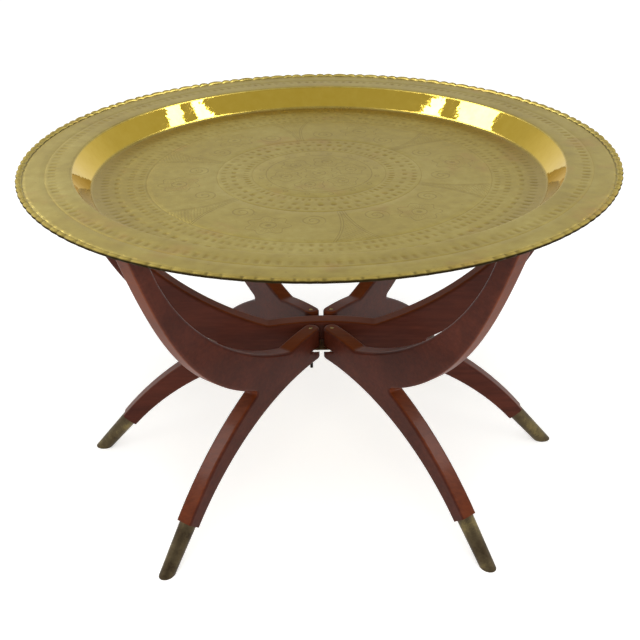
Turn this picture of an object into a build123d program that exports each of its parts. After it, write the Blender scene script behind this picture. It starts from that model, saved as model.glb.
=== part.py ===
"""Folding brass tray table.

A round brass tray rests loose on the six arm tips of a folding wooden base.
The base is one fixed centre board and four swing legs.  Each board carries an
arm, which rises to the tray, and a leg, which runs down to a brass ferrule.
The swing legs turn on vertical pins in the corners of a steel hinge plate.

Units are mm.  The origin is on the floor under the middle of the tray, +Z is
up, and the centre board lies along X.
"""

import os
from math import cos, radians, sin

from build123d import *

# Tray, turned from sheet
TRAY_RADIUS = 420.0
TABLE_HEIGHT = 506.0
SHEET = 1.2
BEAD_RADIUS = 2.5
FLANGE_BELOW_RIM = 3.0
WELL_TOP_RADIUS = 346.5
WELL_FLOOR_RADIUS = 321.6
WELL_DEPTH = 31.3
WELL_FILLET = 6.0

# Boards, all cut from the same stock to the same pattern
BOARD = 25.4
EDGE_ROUND = 4.0
NOTCH_ROUND = 5.0
CREASE_ROUND = 14.0

# Hinge pins: distance of each pin from the table's axis, and how far the legs stand open.
# The front right leg is pushed a little less far round than the others.
PIN_X = 16.0
PIN_Y = 30.5
OPEN_ANGLE = 54.0
FRONT_RIGHT_OPEN_ANGLE = 52.6

# Board pattern: (distance from the table's axis with the legs folded, height)
RIDGE_HEIGHT = 234.0
CREASE = (82.0, 227.0)
ARM_INNER = [(150.0, 255.0), (248.0, 324.0), (315.0, 404.0)]
ARM_OUTER = [(341.5, 392.0), (287.0, 298.5), (207.0, 224.5)]
TIP_INNER_X = 355.0
TIP_OUTER_X = 384.5
NOTCH = (157.0, 198.0)
LEG_OUTER_MIDDLE = (248.5, 140.0)
LEG_INNER_START = (12.0, 181.5)

# Feet
FOOT_SEAT = (314.3, 57.1)
FOOT_ANGLE = 49.0
SHOULDER_OUTER = 12.2
SHOULDER_INNER = 13.3
FERRULE_RADIUS = 12.0
FERRULE_TAPER = 1.15
FERRULE_BORE = 10.0
TENON_RADIUS = 9.95
TENON_LENGTH = 57.5
TENON_CLEARANCE = 0.5
FERRULE_ROUND = 1.2

# Hinge plate and its slots
PLATE_THICK = 3.2
PLATE_HALF_X = 20.0
PLATE_HALF_Y = 46.0
PLATE_CORNER = 3.0
PLATE_MIDDLE = 202.0
SLOT_PLAY = 0.2
LEG_SLOT_REACH = 19.0

# Pins
PIN_RADIUS = 2.3
PIN_FIT = 0.02
PIN_RUNNING_FIT = 0.08
HEAD_RADIUS = 3.4
HEAD_THICK = 1.8
HEAD_SEAT = 231.8
PIN_END = 184.5
LONG_PIN_END = 164.0
RETAINER_RADIUS = 2.0
RETAINER_TOP = 214.0

FLANGE_HEIGHT = TABLE_HEIGHT - FLANGE_BELOW_RIM
TIP_HEIGHT = FLANGE_HEIGHT - SHEET
OVERSIZE = 1000.0

HINGES = {
    "front_right": (PIN_X, -PIN_Y, -FRONT_RIGHT_OPEN_ANGLE),
    "front_left": (-PIN_X, -PIN_Y, OPEN_ANGLE - 180.0),
    "rear_right": (PIN_X, PIN_Y, OPEN_ANGLE),
    "rear_left": (-PIN_X, PIN_Y, 180.0 - OPEN_ANGLE),
}


def side_plane(x, y, azimuth):
    """The upright plane through (x, y) whose local x points along azimuth and local y points up."""
    outward = Vector(cos(radians(azimuth)), sin(radians(azimuth)), 0)
    return Plane(origin=(x, y, 0), x_dir=outward, z_dir=outward.cross(Vector(0, 0, 1)))


def foot_plane(side, pin_x):
    """The plane of the ferrule's seat, facing down along the foot, for a board in a side plane."""
    down = side.x_dir * cos(radians(FOOT_ANGLE)) - Vector(0, 0, sin(radians(FOOT_ANGLE)))
    seat = side.from_local_coords((FOOT_SEAT[0] - pin_x, FOOT_SEAT[1], 0))
    return Plane(origin=seat, x_dir=side.z_dir, z_dir=down)


def board_outline(side, pin_x, inner_x):
    """The outline of one arm and leg in a side plane, measured from pin_x, ending inward at inner_x."""

    def at(point):
        return (point[0] - pin_x, point[1])

    def across_seat(distance):
        across_x = distance * sin(radians(FOOT_ANGLE))
        across_z = distance * cos(radians(FOOT_ANGLE))
        return at((FOOT_SEAT[0] + across_x, FOOT_SEAT[1] + across_z))

    shoulder_outer = across_seat(SHOULDER_OUTER)
    shoulder_inner = across_seat(-SHOULDER_INNER)
    ridge = at((inner_x, RIDGE_HEIGHT))
    tip_inner = at((TIP_INNER_X, TIP_HEIGHT))
    tip_outer = at((TIP_OUTER_X, TIP_HEIGHT))
    bottom = at((inner_x, LEG_INNER_START[1]))
    with BuildSketch(side) as outline:
        with BuildLine():
            TangentArc(ridge, at(CREASE), tangent=(1, 0))
            Spline(at(CREASE), *[at(point) for point in ARM_INNER], tip_inner)
            Line(tip_inner, tip_outer)
            Spline(tip_outer, *[at(point) for point in ARM_OUTER], at(NOTCH))
            ThreePointArc(at(NOTCH), at(LEG_OUTER_MIDDLE), shoulder_outer)
            Line(shoulder_outer, shoulder_inner)
            TangentArc(at(LEG_INNER_START), shoulder_inner, tangent=(1, 0))
            Line(at(LEG_INNER_START), bottom)
            Line(bottom, ridge)
        make_face()
        fillet(vertices().sort_by_distance(at(NOTCH))[0], radius=NOTCH_ROUND)
        fillet(vertices().sort_by_distance(at(CREASE))[0], radius=CREASE_ROUND)
    return outline.sketch


def disc(plane, radius):
    """A round sketch centred on a plane's origin."""
    with BuildSketch(plane) as circle:
        Circle(radius)
    return circle.sketch


def round_edges(side, pin_x):
    """Round the edges of the board being built, apart from its upright ends and the ferrule's seat."""
    seat = foot_plane(side, pin_x).origin
    layers = edges().filter_by(Axis.Z, reverse=True).group_by(Axis(side.origin, side.z_dir))
    chosen = []
    for layer in (layers[0], layers[-1]):
        chosen.extend(layer.sort_by_distance(seat)[1:])
    fillet(chosen, radius=EDGE_ROUND)


def swing_leg(name, x, y, azimuth):
    """One swing leg, with its inner end rounded about the pin, slotted for the hinge plate."""
    side = side_plane(x, y, azimuth)
    floor = Plane(origin=(x, y, 0), x_dir=side.x_dir, z_dir=(0, 0, 1))
    with BuildPart() as leg:
        extrude(board_outline(side, PIN_X, PIN_X - BOARD / 2), amount=BOARD / 2, both=True)
        with BuildSketch(floor):
            Circle(BOARD / 2)
            with Locations((OVERSIZE / 2, 0)):
                Rectangle(OVERSIZE, BOARD)
        extrude(amount=OVERSIZE, mode=Mode.INTERSECT)
        round_edges(side, PIN_X)
        extrude(disc(foot_plane(side, PIN_X), TENON_RADIUS), amount=TENON_LENGTH)
        with BuildSketch(floor.offset(PLATE_MIDDLE - PLATE_THICK / 2 - SLOT_PLAY)):
            with Locations((LEG_SLOT_REACH - BOARD, 0)):
                Rectangle(2 * BOARD, 2 * BOARD)
        extrude(amount=PLATE_THICK + 2 * SLOT_PLAY, mode=Mode.SUBTRACT)
        extrude(disc(floor, PIN_RADIUS + PIN_FIT), amount=TABLE_HEIGHT, mode=Mode.SUBTRACT)
        head_seat = disc(floor.offset(HEAD_SEAT), HEAD_RADIUS + PIN_FIT)
        extrude(head_seat, amount=TABLE_HEIGHT, mode=Mode.SUBTRACT)
    save(leg.part, name)


def ferrule(name, foot):
    """A tapered brass cap on a foot, cut level with the floor."""
    length = OVERSIZE / 10
    with BuildPart() as cap:
        extrude(disc(foot, FERRULE_RADIUS), amount=length, taper=FERRULE_TAPER)
        split(bisect_by=Plane.XY, keep=Keep.TOP)
        fillet(edges().group_by(Axis.Z)[0], radius=FERRULE_ROUND)
        bore_depth = TENON_LENGTH + TENON_CLEARANCE
        extrude(disc(foot, FERRULE_BORE), amount=bore_depth, mode=Mode.SUBTRACT)
    save(cap.part, name)


def hinge_pin(name, x, y, end):
    """A brass pin with a low domed head, driven down through a swing leg's inner end."""
    with BuildPart() as pin:
        extrude(disc(Plane((x, y, end)), PIN_RADIUS), amount=HEAD_SEAT - end)
        extrude(disc(Plane((x, y, HEAD_SEAT)), HEAD_RADIUS), amount=HEAD_THICK)
        fillet(edges().group_by(Axis.Z)[-1], radius=HEAD_THICK / 2)
    save(pin.part, name)


def save(part, name):
    """Label a finished piece and write its STEP file."""
    part.label = name
    export_step(part, f"parts/{name}.step")


os.makedirs("parts", exist_ok=True)

# Tray: floor, sloping wall, flat flange and rolled edge in one turned sheet
with BuildPart() as tray:
    with BuildSketch(Plane.XZ):
        floor_height = FLANGE_HEIGHT - WELL_DEPTH
        bead_x = TRAY_RADIUS - BEAD_RADIUS
        with BuildLine():
            FilletPolyline(
                (0, floor_height),
                (WELL_FLOOR_RADIUS, floor_height),
                (WELL_TOP_RADIUS, FLANGE_HEIGHT),
                (bead_x, FLANGE_HEIGHT),
                radius=WELL_FILLET,
            )
            offset(amount=SHEET, side=Side.RIGHT)
        make_face()
        with Locations((bead_x, TABLE_HEIGHT - BEAD_RADIUS)):
            Circle(BEAD_RADIUS)
    revolve(axis=Axis.Z)
save(tray.part, "tray")

# Centre board: two arms and two legs in one piece, slotted through for the hinge plate
centre_side = side_plane(0, 0, 0)
with BuildPart() as centre_board:
    extrude(board_outline(centre_side, 0, 0), amount=BOARD / 2, both=True)
    round_edges(centre_side, 0)
    mirror(about=Plane.YZ)
    extrude(disc(foot_plane(centre_side, 0), TENON_RADIUS), amount=TENON_LENGTH)
    extrude(disc(foot_plane(side_plane(0, 0, 180), 0), TENON_RADIUS), amount=TENON_LENGTH)
    with BuildSketch(Plane.XY.offset(PLATE_MIDDLE - PLATE_THICK / 2)):
        Rectangle(2 * (PLATE_HALF_X + SLOT_PLAY), 2 * BOARD)
    extrude(amount=PLATE_THICK, mode=Mode.SUBTRACT)
    extrude(disc(Plane.XY, RETAINER_RADIUS + PIN_FIT), amount=RETAINER_TOP, mode=Mode.SUBTRACT)
save(centre_board.part, "centre_board")

# Hinge plate: one steel strap with a pin hole near each corner
with BuildPart() as hinge_plate:
    with BuildSketch(Plane.XY.offset(PLATE_MIDDLE - PLATE_THICK / 2)):
        RectangleRounded(2 * PLATE_HALF_X, 2 * PLATE_HALF_Y, PLATE_CORNER)
        with GridLocations(2 * PIN_X, 2 * PIN_Y, 2, 2):
            Circle(PIN_RADIUS + PIN_RUNNING_FIT, mode=Mode.SUBTRACT)
        Circle(RETAINER_RADIUS + PIN_FIT, mode=Mode.SUBTRACT)
    extrude(amount=PLATE_THICK)
save(hinge_plate.part, "hinge_plate")

# Retaining pin: driven up through the centre board and the middle of the plate
with BuildPart() as retaining_pin:
    board_bottom = LEG_INNER_START[1]
    extrude(disc(Plane.XY.offset(board_bottom), RETAINER_RADIUS), amount=RETAINER_TOP - board_bottom)
save(retaining_pin.part, "plate_retaining_pin")

ferrule("ferrule_right", foot_plane(side_plane(0, 0, 0), 0))
ferrule("ferrule_left", foot_plane(side_plane(0, 0, 180), 0))

for corner, (hinge_x, hinge_y, hinge_azimuth) in HINGES.items():
    swing_leg(f"leg_{corner}", hinge_x, hinge_y, hinge_azimuth)
    ferrule(f"ferrule_{corner}", foot_plane(side_plane(hinge_x, hinge_y, hinge_azimuth), PIN_X))
    pin_end = LONG_PIN_END if corner == "front_left" else PIN_END
    hinge_pin(f"hinge_pin_{corner}", hinge_x, hinge_y, pin_end)
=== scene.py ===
"""Looks of the folding brass tray table.

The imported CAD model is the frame.  The boards, ferrules, plate and pins keep their
CAD shapes and get detailed materials.  The tray is rebuilt as one closed sheet with a
crimped rim, punched rings and an engraved floor.  Lengths are in metres.
"""

import math
import random

import bpy
from mathutils import Matrix, Vector


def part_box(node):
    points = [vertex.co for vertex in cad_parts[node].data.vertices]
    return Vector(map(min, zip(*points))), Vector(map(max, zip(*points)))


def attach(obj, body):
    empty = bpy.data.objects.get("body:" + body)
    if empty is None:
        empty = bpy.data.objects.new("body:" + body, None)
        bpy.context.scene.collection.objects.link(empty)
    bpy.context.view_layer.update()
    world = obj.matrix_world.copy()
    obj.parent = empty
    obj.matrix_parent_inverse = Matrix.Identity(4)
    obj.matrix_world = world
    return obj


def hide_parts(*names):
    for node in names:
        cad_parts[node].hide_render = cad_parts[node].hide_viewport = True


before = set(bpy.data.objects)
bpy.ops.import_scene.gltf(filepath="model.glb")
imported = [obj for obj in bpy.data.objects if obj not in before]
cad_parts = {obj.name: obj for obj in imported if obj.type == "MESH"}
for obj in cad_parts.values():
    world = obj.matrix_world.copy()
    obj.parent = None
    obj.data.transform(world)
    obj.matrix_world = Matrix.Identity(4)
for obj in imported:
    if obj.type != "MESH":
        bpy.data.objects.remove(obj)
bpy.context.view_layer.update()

MM = 0.001
TAU = 2 * math.pi


# ---------------------------------------------------------------- shader formulas


class Wire:
    """A number carried by a shader socket, so that formulas can be written as formulas."""

    def __init__(self, tree, socket):
        self.tree = tree
        self.socket = socket

    def math(self, operation, *others, clamp=False):
        """A Math node of this number and up to two others."""
        node = self.tree.nodes.new("ShaderNodeMath")
        node.operation = operation
        node.use_clamp = clamp
        for slot, value in zip(node.inputs, (self, *others)):
            plug(self.tree, slot, value)
        return Wire(self.tree, node.outputs[0])

    def __add__(self, other):
        return self.math("ADD", other)

    def __sub__(self, other):
        return self.math("SUBTRACT", other)

    def __mul__(self, other):
        return self.math("MULTIPLY", other)

    def __truediv__(self, other):
        return self.math("DIVIDE", other)

    def __pow__(self, other):
        return self.math("POWER", other)

    def __neg__(self):
        return self.math("MULTIPLY", -1.0)

    def __rsub__(self, other):
        return (-self) + other

    __radd__ = __add__
    __rmul__ = __mul__

    def within(self, middle, half, soft):
        """1 where this number is within half of middle, falling to 0 over soft."""
        return ((self - middle).math("ABSOLUTE") - half).step(soft, 0.0)

    def step(self, low, high):
        """A smooth step of this number from 0 at low to 1 at high."""
        node = self.tree.nodes.new("ShaderNodeMapRange")
        node.interpolation_type = "SMOOTHSTEP"
        plug(self.tree, node.inputs[0], self)
        node.inputs[1].default_value = min(low, high)
        node.inputs[2].default_value = max(low, high)
        node.inputs[3].default_value = 0.0 if low < high else 1.0
        node.inputs[4].default_value = 1.0 if low < high else 0.0
        return Wire(self.tree, node.outputs[0])


def plug(tree, slot, value):
    """Connect a wire or a socket to a slot, or set the slot to a plain value."""
    if isinstance(value, Wire):
        tree.links.new(value.socket, slot)
    elif isinstance(value, bpy.types.NodeSocket):
        tree.links.new(value, slot)
    else:
        slot.default_value = value


class Shader:
    """A Principled material under construction, with the nodes that its patterns need."""

    def __init__(self, name, **settings):
        self.material = bpy.data.materials.new(name)
        self.material.use_nodes = True
        self.tree = self.material.node_tree
        self.principled = self.tree.nodes["Principled BSDF"]
        for slot, value in settings.items():
            self.principled.inputs[slot.replace("_", " ")].default_value = value
        self.bumped = None

    def place(self, turn=0.0, stretch=(1, 1, 1)):
        """Object coordinates, turned about Z and stretched."""
        coordinates = self.tree.nodes.new("ShaderNodeTexCoord")
        mapping = self.tree.nodes.new("ShaderNodeMapping")
        mapping.vector_type = "POINT"
        mapping.inputs["Rotation"].default_value = (0, 0, turn)
        mapping.inputs["Scale"].default_value = stretch
        self.tree.links.new(coordinates.outputs["Object"], mapping.inputs["Vector"])
        return mapping.outputs[0]

    def axes(self, place):
        """The three numbers of a place."""
        node = self.tree.nodes.new("ShaderNodeSeparateXYZ")
        self.tree.links.new(place, node.inputs[0])
        return [Wire(self.tree, output) for output in node.outputs]

    def noise(self, place, scale, detail=3.0, roughness=0.5, distortion=0.0):
        """Fractal noise from 0 to 1."""
        node = self.tree.nodes.new("ShaderNodeTexNoise")
        self.tree.links.new(place, node.inputs["Vector"])
        node.inputs["Scale"].default_value = scale
        node.inputs["Detail"].default_value = detail
        node.inputs["Roughness"].default_value = roughness
        node.inputs["Distortion"].default_value = distortion
        return Wire(self.tree, node.outputs[0])

    def cells(self, place, scale, randomness=1.0):
        """Distance to the nearest of a scatter of points."""
        node = self.tree.nodes.new("ShaderNodeTexVoronoi")
        self.tree.links.new(place, node.inputs["Vector"])
        node.inputs["Scale"].default_value = scale
        node.inputs["Randomness"].default_value = randomness
        return Wire(self.tree, node.outputs["Distance"])

    def attribute(self, name):
        """A number stored on the mesh's points."""
        node = self.tree.nodes.new("ShaderNodeAttribute")
        node.attribute_name = name
        return Wire(self.tree, node.outputs["Fac"])

    def facing(self, azimuth):
        """How squarely the surface faces sideways from an upright board that points along azimuth."""
        coordinates = self.tree.nodes.new("ShaderNodeTexCoord")
        along = self.tree.nodes.new("ShaderNodeVectorMath")
        along.operation = "DOT_PRODUCT"
        self.tree.links.new(coordinates.outputs["Normal"], along.inputs[0])
        along.inputs[1].default_value = (-math.sin(azimuth), math.cos(azimuth), 0)
        return Wire(self.tree, along.outputs["Value"]).math("ABSOLUTE")

    def ramp(self, factor, *stops):
        """A colour ramp of (position, (r, g, b)) stops."""
        node = self.tree.nodes.new("ShaderNodeValToRGB")
        plug(self.tree, node.inputs[0], factor)
        elements = node.color_ramp.elements
        while len(elements) < len(stops):
            elements.new(0.5)
        for element, (position, colour) in zip(elements, stops):
            element.position = position
            element.color = (*colour, 1)
        return node.outputs[0]

    def mix(self, factor, first, second, blend="MIX"):
        """Mix two colours by a factor."""
        node = self.tree.nodes.new("ShaderNodeMix")
        node.data_type = "RGBA"
        node.blend_type = blend
        plug(self.tree, node.inputs[0], factor)
        for slot, colour in ((node.inputs[6], first), (node.inputs[7], second)):
            plug(self.tree, slot, (*colour, 1) if isinstance(colour, tuple) else colour)
        return node.outputs[2]

    def colour(self, socket):
        """Set the base colour from a socket."""
        plug(self.tree, self.principled.inputs["Base Color"], socket)

    def roughness(self, value):
        """Set the roughness from a wire."""
        plug(self.tree, self.principled.inputs["Roughness"], value)

    def bump(self, height, distance, strength=1.0):
        """Add a layer of bump, in metres of height."""
        node = self.tree.nodes.new("ShaderNodeBump")
        node.inputs["Strength"].default_value = strength
        node.inputs["Distance"].default_value = distance
        plug(self.tree, node.inputs["Height"], height)
        if self.bumped:
            self.tree.links.new(self.bumped, node.inputs["Normal"])
        self.bumped = node.outputs[0]
        self.tree.links.new(self.bumped, self.principled.inputs["Normal"])


# ---------------------------------------------------------------- tray sizes

tray_low, tray_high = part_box("tray")
RIM = tray_high.x
TOP = tray_high.z
SHEET = 1.2 * MM
FLANGE = TOP - 3 * MM
FLOOR = tray_low.z + SHEET
WELL_FOOT = 321.6 * MM
WELL_TOP = 346.5 * MM

# Punched rings: inner radius, outer radius, number of marks, share of the pitch marked, depth
PUNCHED = {
    "medallion_inner": (101.0 * MM, 109.0 * MM, 72, 0.42, 0.5 * MM),
    "medallion_dots": (120.0 * MM, 126.5 * MM, 46, 0.40, 0.8 * MM),
    "medallion_outer": (134.0 * MM, 141.0 * MM, 72, 0.42, 0.5 * MM),
    "border_inner": (250.5 * MM, 258.0 * MM, 146, 0.46, 0.45 * MM),
    "border_outer": (265.0 * MM, 273.0 * MM, 146, 0.46, 0.5 * MM),
    "border_dots": (284.5 * MM, 291.0 * MM, 105, 0.42, 0.7 * MM),
    "border_ticks": (299.0 * MM, 309.5 * MM, 160, 0.34, 0.5 * MM),
    "flange_ticks": (367.0 * MM, 377.0 * MM, 184, 0.42, 0.5 * MM),
}
# Plain rings of the floor's mesh between the punched ones, in millimetres
PLAIN_RADII = [12, 40, 70, 160, 175, 190, 205, 220, 235, 278.5]

# Engraved rings: radius and depth
LINES = {
    "medallion_inner": (96.5 * MM, 0.3 * MM),
    "medallion_edge": (147.0 * MM, 0.35 * MM),
    "field_edge": (246.5 * MM, 0.35 * MM),
    "flange_edge": (381.5 * MM, 0.3 * MM),
}
LINE_HALF = 1.1 * MM

# Engraved field: petals from the medallion to the border, each with a flower and two leaves
ENGRAVED_HALF = 0.9 * MM
PETALS = 6
PETAL_SHIFT = 0.32
PETAL_FLARE = 26 * MM
PETAL_WALL = 3.4 * MM
FLOWER_SIZE = 31 * MM
LEAF_SHIFTS = (0.27, -0.27)
LEAF_COIL = 8.5 * MM
STIPPLE_PITCH = 5 * MM
STIPPLES = 190.0

# Engraved medallion: a flower with six small ones round it, inside a ring of beads
MEDALLION_FLOWER = 26 * MM
SMALL_FLOWERS = 6
SMALL_FLOWER_RING = 48 * MM
SMALL_FLOWER_SIZE = 23 * MM
MEDALLION_BEADS = 16
BEAD_RING = 84 * MM
BEAD_SIZE = 3.2 * MM
BEAD_INNER_LINE = 76 * MM

# Crimped rim: groups of three evenly spaced crimps, with a wider gap between the groups
CRIMP_GROUPS = 46
CRIMP_STARTS = (0.0, 0.281, 0.562)
CRIMP_RADIAL = 3.2 * MM
CRIMP_DROP = 1.9 * MM

# The rolled edge, in millimetres: distance in from the rim, distance below the top, share of the crimp
EDGE = {
    "flange": [(14.0, 3.0, 0.0), (11.5, 3.1, 0.1)],
    "groove": [(9.4, 3.5, 0.3), (8.2, 3.6, 0.5)],
    "bead": [
        (7.6, 2.3, 0.7), (6.6, 0.9, 0.85), (5.2, 0.15, 0.95),
        (3.6, 0.0, 1.0), (2.0, 0.25, 1.0), (0.7, 1.0, 1.0),
    ],
    "outer_face": [
        (0.0, 2.1, 1.0), (0.1, 3.6, 0.9), (0.9, 4.9, 0.7), (2.2, 5.3, 0.6),
        (3.6, 5.0, 0.6), (5.0, 4.6, 0.6), (7.5, 4.3, 0.4),
    ],
}

STEPS = CRIMP_GROUPS * 24
MIDDLE_STEPS = STEPS // 2
UNDER_STEPS = STEPS // 4


def smooth(value, low, high):
    """A smooth step from 0 at low to 1 at high."""
    t = min(max((value - low) / (high - low), 0.0), 1.0)
    return t * t * (3 - 2 * t)


def crimp_marks():
    """The angle of every crimp round the rim and its strength, a little uneven as handwork is."""
    rng = random.Random(7)
    pitch = TAU / CRIMP_GROUPS
    marks = []
    for group in range(CRIMP_GROUPS):
        for start in CRIMP_STARTS:
            angle = (group + start + rng.uniform(-0.02, 0.02)) * pitch
            marks.append((angle, rng.uniform(0.75, 1.2)))
    return marks


CRIMPS = crimp_marks()


def crimp_depth(angle):
    """How far the rim is pressed in at an angle: 0 on the crown of a lobe, about 1 in a crimp."""
    angle %= TAU
    best = len(CRIMPS) - 1
    for index, (mark, _) in enumerate(CRIMPS):
        if mark > angle:
            best = index - 1
            break
    low, low_strength = CRIMPS[best]
    high, high_strength = CRIMPS[(best + 1) % len(CRIMPS)]
    if best == -1:
        low -= TAU
    span = (high - low) % TAU
    t = ((angle - low) % TAU) / span
    strength = low_strength * (1 - t) + high_strength * t
    return strength * (1 - math.sin(math.pi * t) ** 0.55)


def relief(radius, angle):
    """Depth of the punched and engraved marks at a place on the tray."""
    depth = 0.0
    for inner, outer, count, share, deep in PUNCHED.values():
        if inner - MM < radius < outer + MM:
            across = smooth(radius, inner - MM, inner + 1.2 * MM)
            across *= 1 - smooth(radius, outer - 1.2 * MM, outer + MM)
            pitches = angle * count / TAU
            wander = 0.16 * math.sin(int(pitches) * 12.9898 + count)
            turn = abs(pitches % 1.0 - 0.5 + wander) * 2
            uneven = 0.75 + 0.25 * math.sin(int(pitches) * 7.31 + 2.0 * count)
            depth = max(depth, deep * uneven * across * (1 - smooth(turn, share * 0.45, share * 1.5)))
    for ring, deep in LINES.values():
        depth = max(depth, deep * (1 - smooth(abs(radius - ring), 0.0, LINE_HALF)))
    return depth


def fillet_points(before, corner, after, radius, steps):
    """Points of the arc that rounds a corner of the tray's section."""
    b, c, a = Vector(before), Vector(corner), Vector(after)
    to_b, to_a = (b - c).normalized(), (a - c).normalized()
    half = to_b.angle(to_a) / 2
    reach = radius / math.tan(half)
    centre = c + (to_b + to_a).normalized() * (radius / math.sin(half))
    start, end = c + to_b * reach - centre, c + to_a * reach - centre
    turn = start.angle_signed(end)
    points = []
    for step in range(steps + 1):
        points.append(centre + Matrix.Rotation(-turn * step / steps, 2) @ start)
    return [(p.x, p.y) for p in points]


def top_radii():
    """Radii of the rings on the floor's top, closer together across each mark."""
    radii = [radius * MM for radius in PLAIN_RADII]
    for name, (inner, outer, *_) in PUNCHED.items():
        if name != "flange_ticks":
            radii += [inner - MM, inner + 1.2 * MM, (inner + outer) / 2, outer - 1.2 * MM, outer + MM]
    for name, (ring, _) in LINES.items():
        if name != "flange_edge":
            radii += [ring - LINE_HALF, ring, ring + LINE_HALF]
    return sorted(radii)


def tray_section():
    """Rings of the tray from the middle of the top round the rim to the middle underneath.

    Each ring is (radius, height, crimp share, steps round, groove, outer face).
    """
    rings = []
    for radius in top_radii():
        rings.append((radius, FLOOR, 0.0, MIDDLE_STEPS if radius < 249 * MM else STEPS))
    foot = fillet_points((0, FLOOR), (WELL_FOOT, FLOOR), (WELL_TOP, FLANGE), 6 * MM, 5)
    shoulder = fillet_points((WELL_FOOT, FLOOR), (WELL_TOP, FLANGE), (RIM, FLANGE), 5 * MM, 5)
    for radius, height in foot + shoulder:
        rings.append((radius, height, 0.0, STEPS))
    inner, outer, *_ = PUNCHED["flange_ticks"]
    ring, _ = LINES["flange_edge"]
    flange = [358 * MM, inner - MM, inner + 1.2 * MM, (inner + outer) / 2, outer - 1.2 * MM, outer + MM]
    flange += [ring - LINE_HALF / 2, ring, ring + LINE_HALF, 391 * MM, 400 * MM]
    for radius in flange:
        rings.append((radius, FLANGE, 0.0, STEPS))
    for stretch, places in EDGE.items():
        groove = 1.0 if stretch == "groove" else 0.0
        outer_face = 1.0 if stretch == "outer_face" else 0.0
        for back, below, share in places:
            rings.append((RIM - back * MM, TOP - below * MM, share, STEPS, groove, outer_face))
    under = [(400 * MM, FLANGE), (375 * MM, FLANGE)]
    under += reversed(fillet_points((WELL_FOOT, FLOOR), (WELL_TOP, FLANGE), (RIM, FLANGE), 6 * MM, 3))
    under += reversed(fillet_points((0, FLOOR), (WELL_FOOT, FLOOR), (WELL_TOP, FLANGE), 5 * MM, 3))
    under += [(250 * MM, FLOOR), (150 * MM, FLOOR), (50 * MM, FLOOR)]
    for radius, height in under:
        outward = 0.4 * SHEET if WELL_FOOT < radius < WELL_TOP + 8 * MM else 0.0
        rings.append((radius + outward, height - SHEET, 0.0, UNDER_STEPS))
    return [(*ring, 0.0, 0.0)[:6] for ring in rings]


def stitch(faces, first, first_count, second, second_count):
    """Join two neighbouring rings of points with faces, whatever their numbers of points."""
    if first_count == second_count:
        for step in range(first_count):
            after = (step + 1) % first_count
            faces.append((first + step, second + step, second + after, first + after))
        return
    few, few_count, many, ratio, flipped = (
        (first, first_count, second, second_count // first_count, False)
        if first_count < second_count
        else (second, second_count, first, first_count // second_count, True)
    )
    for step in range(few_count):
        after = (step + 1) % few_count
        fan = [many + (step * ratio + k) % (few_count * ratio) for k in range(ratio + 1)]
        face = [few + step, *fan, few + after]
        faces.append(tuple(reversed(face)) if flipped else tuple(face))


def build_tray():
    """The tray as one closed sheet, with its marks and crimps in the mesh."""
    rings = tray_section()
    depth_at = [crimp_depth(TAU * step / STEPS) for step in range(STEPS)]
    points, faces, starts = [], [], []
    # The groove and outer_face shares mark where the tray's material paints shade.
    shares = {"marks": [], "crimp": [], "groove": [], "outer_face": []}
    crest = max(index for index, ring in enumerate(rings) if ring[2] > 0)
    for index, (radius, height, share, count, groove, outer_face) in enumerate(rings):
        starts.append((len(points), count))
        for step in range(count):
            angle = TAU * step / count
            depth = relief(radius, angle) if index <= crest and share == 0 else 0.0
            crimp = share * depth_at[step * STEPS // count]
            r = radius - crimp * CRIMP_RADIAL
            points.append((r * math.cos(angle), r * math.sin(angle), height - depth - crimp * CRIMP_DROP))
            for name, value in zip(shares, (min(depth / (0.5 * MM), 1.0), crimp, groove, outer_face)):
                shares[name].append(value)
    for (first, first_count), (second, second_count) in zip(starts, starts[1:]):
        stitch(faces, first, first_count, second, second_count)
    hubs = ((FLOOR, starts[0], True), (FLOOR - SHEET, starts[-1], False))
    for hub_height, (start, count), upward in hubs:
        hub = len(points)
        points.append((0, 0, hub_height))
        for values in shares.values():
            values.append(0.0)
        for step in range(count):
            pair = (start + step, start + (step + 1) % count)
            faces.append((hub, *pair) if upward else (hub, *reversed(pair)))
    mesh = bpy.data.meshes.new("brass_tray")
    mesh.from_pydata(points, [], faces)
    for name, values in shares.items():
        mesh.attributes.new(name, "FLOAT", "POINT").data.foreach_set("value", values)
    mesh.shade_smooth()
    mesh.update()
    piece = bpy.data.objects.new("brass_tray", mesh)
    bpy.context.scene.collection.objects.link(piece)
    return piece


# ---------------------------------------------------------------- materials


def line(distance, half):
    """A thin engraved line where a distance is zero, 1 on the line and 0 beside it."""
    return distance.within(0.0, half * 0.5, half)


def strongest(*layers):
    """The strongest of several layers."""
    top = layers[0]
    for layer in layers[1:]:
        top = top.math("MAXIMUM", layer)
    return top


def repeat_round(radius, angle, count, shift, reach):
    """Distance and bearing from the nearest of a ring of points."""
    turn = ((angle * (count / TAU) + shift).math("FRACT") - 0.5) * (TAU / count)
    outward = radius * turn.math("COSINE") - reach
    sideways = radius * turn.math("SINE")
    distance = (outward * outward + sideways * sideways).math("SQRT")
    return distance, sideways.math("ARCTAN2", outward)


def flower(distance, bearing, size, lobes):
    """An open flower: a lobed outline, an inner ring and fine hatching between them."""
    edge = (bearing * lobes).math("COSINE") * (0.12 * size) + size * 0.86
    hatch = ((bearing * (lobes * 5)).math("SINE") - 0.25).step(0.0, 0.5)
    inside = distance.step(size * 0.80, size * 0.60) * distance.step(size * 0.34, size * 0.42)
    return strongest(
        line(distance - edge, ENGRAVED_HALF),
        line(distance - size * 0.34, ENGRAVED_HALF),
        distance.step(size * 0.16, size * 0.10),
        hatch * inside * 0.55,
    )


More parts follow.
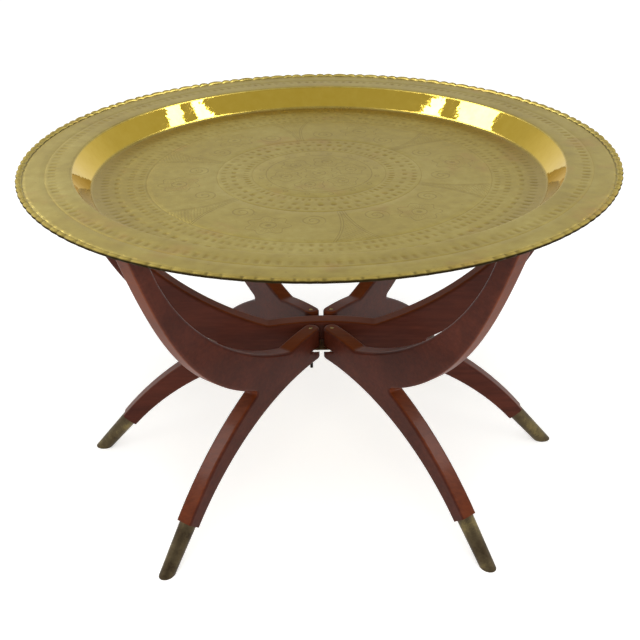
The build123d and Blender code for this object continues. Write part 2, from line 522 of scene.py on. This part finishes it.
def engraving(radius, angle):
    """The engraved field of petals, flowers and leaves, and the medallion in the middle."""
    inner, outer = LINES["medallion_edge"][0], LINES["field_edge"][0]
    share = ((radius - inner) / (outer - inner)).math("MAXIMUM", 0.0)
    field = radius.step(inner, inner + MM) * radius.step(outer, outer - MM)
    turn = (angle * (PETALS / TAU) + PETAL_SHIFT).math("FRACT") - 0.5
    side = turn.math("ABSOLUTE") * radius * (TAU / PETALS)
    gap = 0.5 * radius * (TAU / PETALS) - side
    curve = share ** 2.2 * PETAL_FLARE + 1.5 * MM
    outline = strongest(line(gap - curve, ENGRAVED_HALF), line(gap - curve - PETAL_WALL, ENGRAVED_HALF))
    stippled = (radius * (TAU / STIPPLE_PITCH)).math("SINE") * (angle * STIPPLES).math("SINE")
    spandrel = (curve - gap).step(0.0, 3 * MM) * stippled.step(0.1, 0.5)
    reach = 0.5 * (inner + outer) + 4 * MM
    distance, bearing = repeat_round(radius, angle, PETALS, PETAL_SHIFT, reach)
    blossom = flower(distance, bearing, FLOWER_SIZE, 7)
    leaves = []
    for shift in LEAF_SHIFTS:
        near, way = repeat_round(radius, angle, PETALS, PETAL_SHIFT + shift, inner + 30 * MM)
        spiral = (near * (TAU / LEAF_COIL) + way).math("SINE")
        leaf = spiral.step(0.45, 0.9) * near.step(19 * MM, 16 * MM)
        leaves.append(leaf * distance.step(33 * MM, 36 * MM) * (gap - curve).step(4 * MM, 6 * MM))
    core = radius.step(94 * MM, 92 * MM)
    bead, _ = repeat_round(radius, angle, MEDALLION_BEADS, 0.0, BEAD_RING)
    lobe, around = repeat_round(radius, angle, SMALL_FLOWERS, 0.25, SMALL_FLOWER_RING)
    centre = strongest(
        flower(radius, angle, MEDALLION_FLOWER, 8),
        flower(lobe, around, SMALL_FLOWER_SIZE, 5),
        line(bead - BEAD_SIZE, ENGRAVED_HALF),
        line(radius - BEAD_INNER_LINE, ENGRAVED_HALF),
    )
    leaves = [leaf * field for leaf in leaves]
    return strongest(outline * field, spandrel * field * 0.8, blossom * field, *leaves, centre * core)


def tray_material():
    """Satin brass with punched and engraved marks, a polished well wall and uneven tarnish, with painted
    shade on the rim's outer face and groove and a painted reflection of the wall on the floor at its
    foot.
    """
    shader = Shader("tray_brass", Metallic=1.0, Roughness=0.4)
    place = shader.place()
    x, y, z = shader.axes(place)
    waver = (shader.noise(place, 14, 2) - 0.5) * (5 * MM)
    true_radius = (x * x + y * y).math("SQRT")
    radius = true_radius + waver
    angle = y.math("ARCTAN2", x) + waver * 5.0
    wall = z.step(FLOOR + 1.0 * MM, FLOOR + 4 * MM) * z.step(FLANGE - 0.6 * MM, FLANGE - 3 * MM)
    wall = wall * true_radius.step(RIM - 20 * MM, RIM - 30 * MM)
    marks = shader.attribute("marks")
    lines = engraving(radius, angle) * z.step(FLOOR + 1.0 * MM, FLOOR + 0.5 * MM)
    cloud = shader.noise(place, 4.5, 5, 0.62)
    patches = shader.noise(place, 55, 5, 0.7)
    scratches = shader.noise(shader.place(0.6, (1, 14, 1)), 42, 3, 0.6)
    specks = shader.cells(place, 55).step(0.10, 0.04)
    satin = shader.ramp(
        cloud * 0.55 + patches * 0.45,
        (0.34, (0.330, 0.248, 0.059)), (0.52, (0.400, 0.316, 0.083)), (0.68, (0.455, 0.382, 0.126)),
    )
    gold = shader.mix(patches, (0.62, 0.415, 0.040), (0.74, 0.53, 0.085))
    rosy = shader.noise(place, 11, 4, 0.6).step(0.56, 0.70) * (1 - wall)
    satin = shader.mix(rosy * 0.45, satin, (0.40, 0.245, 0.080))
    # Painted reflection: a warmer gold band on the floor at the foot of the well wall stands in for the
    # wall's reflection; the same band also lowers the roughness there.
    wall_reflection_band = true_radius.step(WELL_FOOT - 42 * MM, WELL_FOOT - 8 * MM) * (1 - wall)
    wall_reflection_band = wall_reflection_band * z.step(FLOOR + 3 * MM, FLOOR + 1.5 * MM)
    satin = shader.mix(wall_reflection_band * 0.35, satin, (0.40, 0.265, 0.035))
    metal = shader.mix(wall, satin, gold)
    metal = shader.mix(scratches.step(0.60, 0.78) * (1 - wall) * 0.25, metal, (0.56, 0.48, 0.25))
    worn = strongest(marks * 0.46, lines * 0.30, specks * (1 - wall) * 0.25)
    metal = shader.mix(worn, metal, (0.15, 0.098, 0.024))
    # Painted shade: the rim's turned-down outer face is painted almost black.
    outer_face = shader.attribute("outer_face")
    # Painted shade: a dark line along the groove inside the bead, stronger towards the rear of the tray
    # (higher y).
    groove = shader.attribute("groove") * (0.45 + patches * 0.9) * y.step(-0.25, 0.1)
    # Darker where the rim is crimped.
    crimp_dark = shader.attribute("crimp").step(0.22, 0.8) * true_radius.step(RIM - 10 * MM, RIM - 8 * MM)
    bead = true_radius.step(RIM - 8 * MM, RIM - 6 * MM)
    metal = shader.mix(bead * (0.75 - patches * 0.5), metal, (0.17, 0.130, 0.036))
    # Painted shade on the outer face and groove, and the darker crimps, all mixed towards near black.
    dark = strongest(outer_face * 0.97, groove * 0.85, crimp_dark * 0.42)
    metal = shader.mix(dark, metal, (0.022, 0.013, 0.004))
    shader.colour(metal)
    polish = wall * 0.42 + wall_reflection_band * 0.16
    shader.roughness(0.38 + patches * 0.14 - polish + marks * 0.1 + bead * 0.32)
    hammer = shader.noise(place, 60, 2, 0.5)
    shader.bump(hammer, 0.35 * MM, 0.45)
    shader.bump(lines * -1.0, 0.25 * MM, 0.6)
    return shader.material


def wood_material(name, azimuth, seed):
    """Lacquered red-brown wood with its grain along a board that points along azimuth."""
    shader = Shader(name, Roughness=0.36, Coat_Weight=0.03, Coat_Roughness=0.10, Specular_IOR_Level=0.09)
    along = shader.place(-azimuth, (1.0, 9.0, 9.0))
    shift = shader.tree.nodes.new("ShaderNodeVectorMath")
    shift.operation = "ADD"
    shift.inputs[1].default_value = (seed * 1.7, seed * 0.9, seed * 2.3)
    shader.tree.links.new(along, shift.inputs[0])
    along = shift.outputs[0]
    broad = shader.noise(along, 1.6, 3, 0.5, 0.4)
    streaks = shader.noise(along, 22, 5, 0.6, 0.2)
    pores = shader.noise(along, 95, 3, 0.7)
    tone = broad * 0.55 + streaks * 0.45
    broad_face = shader.ramp(
        tone,
        (0.28, (0.030, 0.0062, 0.0030)), (0.46, (0.050, 0.0105, 0.0050)),
        (0.60, (0.072, 0.0155, 0.0075)), (0.76, (0.105, 0.0235, 0.0115)),
    )
    narrow_edge = shader.ramp(
        tone,
        (0.28, (0.062, 0.0120, 0.0030)), (0.50, (0.110, 0.0220, 0.0050)), (0.76, (0.160, 0.0360, 0.0095)),
    )
    wood = shader.mix(shader.facing(azimuth).step(0.35, 0.75), narrow_edge, broad_face)
    fine = pores.step(0.60, 0.72)
    wood = shader.mix(fine * 0.30, wood, (0.028, 0.008, 0.005))
    shader.colour(wood)
    shader.roughness(0.33 + streaks * 0.14)
    shader.bump(fine * -0.6 + streaks * 0.4, 0.12 * MM, 0.5)
    return shader.material


def ferrule_material():
    """Old brass, brown-green and dull, rubbed brighter in places."""
    shader = Shader("ferrule_brass", Metallic=1.0, Roughness=0.45)
    place = shader.place()
    blotches = shader.noise(place, 24, 4, 0.55, 0.3)
    fine = shader.noise(place, 420, 3, 0.6)
    metal = shader.ramp(
        blotches * 0.8 + fine * 0.2,
        (0.36, (0.044, 0.030, 0.017)), (0.53, (0.090, 0.068, 0.037)), (0.74, (0.24, 0.185, 0.070)),
    )
    shader.colour(metal)
    shader.roughness(0.55 - blotches * 0.25 + fine * 0.1)
    shader.bump(fine + blotches * 0.5, 0.15 * MM, 0.5)
    return shader.material


def plate_material():
    """Bright zinc plating with a fine brushed line."""
    shader = Shader("zinc_plate", Metallic=1.0, Roughness=0.3)
    place = shader.place(0.0, (1, 14, 14))
    brush = shader.noise(place, 120, 4, 0.7)
    cloud = shader.noise(shader.place(), 60, 3)
    shader.colour(shader.ramp(cloud, (0.3, (0.52, 0.52, 0.50)), (0.7, (0.78, 0.78, 0.76))))
    shader.roughness(0.22 + brush * 0.2)
    shader.bump(brush, 0.05 * MM, 0.4)
    return shader.material


def pin_material():
    """Worn brass pin heads on dark shanks."""
    _, pin_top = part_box("hinge_pin_front_left")
    shank = pin_top.z - 10 * MM
    shader = Shader("pin_brass", Metallic=1.0, Roughness=0.35)
    place = shader.place()
    wear = shader.noise(place, 300, 3, 0.6)
    brass = shader.ramp(wear, (0.40, (0.10, 0.060, 0.024)), (0.66, (0.62, 0.47, 0.20)))
    height = shader.axes(place)[2]
    shader.colour(shader.mix(height.step(shank, shank + MM), (0.012, 0.008, 0.006), brass))
    shader.roughness(0.28 + wear * 0.25)
    shader.bump(wear, 0.08 * MM, 0.5)
    return shader.material


def middle(node):
    """The middle of a CAD node's box."""
    low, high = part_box(node)
    return (Vector(low) + Vector(high)) / 2


def dress(node, material):
    """Give a CAD node one material."""
    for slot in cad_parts[node].material_slots:
        slot.material = material


tray = build_tray()
tray.data.materials.append(tray_material())
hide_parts("tray")
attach(tray, "tray")

AZIMUTHS = {"centre_board": 0.0}
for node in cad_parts:
    if node.startswith("leg_"):
        corner = node.removeprefix("leg_")
        outward = middle(f"ferrule_{corner}") - middle(f"hinge_pin_{corner}")
        AZIMUTHS[node] = math.atan2(outward.y, outward.x)
for seed, (board, azimuth) in enumerate(AZIMUTHS.items()):
    dress(board, wood_material(f"mahogany_{board}", azimuth, seed))
aged = ferrule_material()
pin_brass = pin_material()
zinc = plate_material()
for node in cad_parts:
    if node.startswith("ferrule"):
        dress(node, aged)
    elif node.startswith("hinge_pin"):
        dress(node, pin_brass)
    elif "plate" in node:
        dress(node, zinc)


# ---------------------------------------------------------------- stage, light and camera


FLOOR_HALF = 30.0
TRAY_MIDDLE = (0, 0.1, 0.49)
WINDOW = (1.72, -0.25, 2.1)
LENS = 56.8
EYE = (-0.0019, -1.3812, 0.9776)
PITCH, ROLL = math.radians(28.40), math.radians(-0.91)


def studio_floor():
    """A pale floor that runs out to the horizon."""
    mesh = bpy.data.meshes.new("studio_floor")
    corners = [(FLOOR_HALF * x, FLOOR_HALF * y, 0) for x, y in ((-1, -1), (1, -1), (1, 1), (-1, 1))]
    mesh.from_pydata(corners, [], [(0, 1, 2, 3)])
    floor = bpy.data.objects.new("studio_floor", mesh)
    bpy.context.scene.collection.objects.link(floor)
    shader = Shader("studio_floor", Roughness=0.9, Specular_IOR_Level=0.1)
    shader.principled.inputs["Base Color"].default_value = (0.90, 0.90, 0.90, 1)
    shader.principled.inputs["Emission Color"].default_value = (1, 1, 1, 1)
    shader.principled.inputs["Emission Strength"].default_value = 0.47
    mesh.materials.append(shader.material)


def studio_world():
    """A pale sky, brighter at the horizon than overhead."""
    world = bpy.data.worlds.new("studio")
    bpy.context.scene.world = world
    world.use_nodes = True
    tree = world.node_tree
    coordinates = tree.nodes.new("ShaderNodeTexCoord")
    split = tree.nodes.new("ShaderNodeSeparateXYZ")
    ramp = tree.nodes.new("ShaderNodeValToRGB")
    tree.links.new(coordinates.outputs["Generated"], split.inputs[0])
    tree.links.new(split.outputs[2], ramp.inputs[0])
    tree.links.new(ramp.outputs[0], tree.nodes["Background"].inputs[0])
    stops = ((0.0, 1.0), (0.12, 1.0), (0.45, 0.62), (1.0, 0.50))
    elements = ramp.color_ramp.elements
    while len(elements) < len(stops):
        elements.new(0.5)
    for element, (position, level) in zip(elements, stops):
        element.position = position
        element.color = (level, level, level, 1)
    tree.nodes["Background"].inputs[1].default_value = 1.0


def softbox(name, place, aim, size, power, kind):
    """A rectangular studio light that faces an aim point, for diffuse light or for reflections."""
    data = bpy.data.lights.new(name, "AREA")
    data.shape = "RECTANGLE"
    data.size, data.size_y = size
    data.energy = power
    lamp = bpy.data.objects.new(name, data)
    lamp.location = place
    lamp.rotation_mode = "QUATERNION"
    lamp.rotation_quaternion = (Vector(aim) - Vector(place)).to_track_quat("-Z", "Y")
    lamp.visible_diffuse = kind == "diffuse"
    lamp.visible_glossy = kind == "glossy"
    bpy.context.scene.collection.objects.link(lamp)


def camera():
    """A camera at standing height in front of the table, looking down at it."""
    data = bpy.data.cameras.new("camera")
    data.sensor_width = 36.0
    data.lens = LENS
    eye = bpy.data.objects.new("camera", data)
    turn = Matrix.Rotation(math.pi / 2 - PITCH, 4, "X") @ Matrix.Rotation(ROLL, 4, "Z")
    eye.matrix_world = Matrix.Translation(EYE) @ turn
    bpy.context.scene.collection.objects.link(eye)
    bpy.context.scene.camera = eye


studio_floor()
studio_world()
for side in (-1, 1):
    softbox(f"window_{side:+d}", (side * WINDOW[0], *WINDOW[1:]), TRAY_MIDDLE, (0.85, 1.30), 48, "glossy")
softbox("window_edge_right", (WINDOW[0], 0.62, 2.05), TRAY_MIDDLE, (0.22, 1.30), 10, "glossy")
softbox("window_edge_left", (-WINDOW[0], 0.92, 2.05), TRAY_MIDDLE, (0.60, 1.30), 26, "glossy")
softbox("top_fill", (0, -1.0, 2.6), (0, 0, 0.3), (2.6, 1.6), 30, "diffuse")
softbox("front_fill", (0, -2.6, 1.5), (0, 0, 0.2), (2.4, 1.2), 26, "diffuse")
camera()
bpy.context.scene.view_settings.view_transform = "Standard"
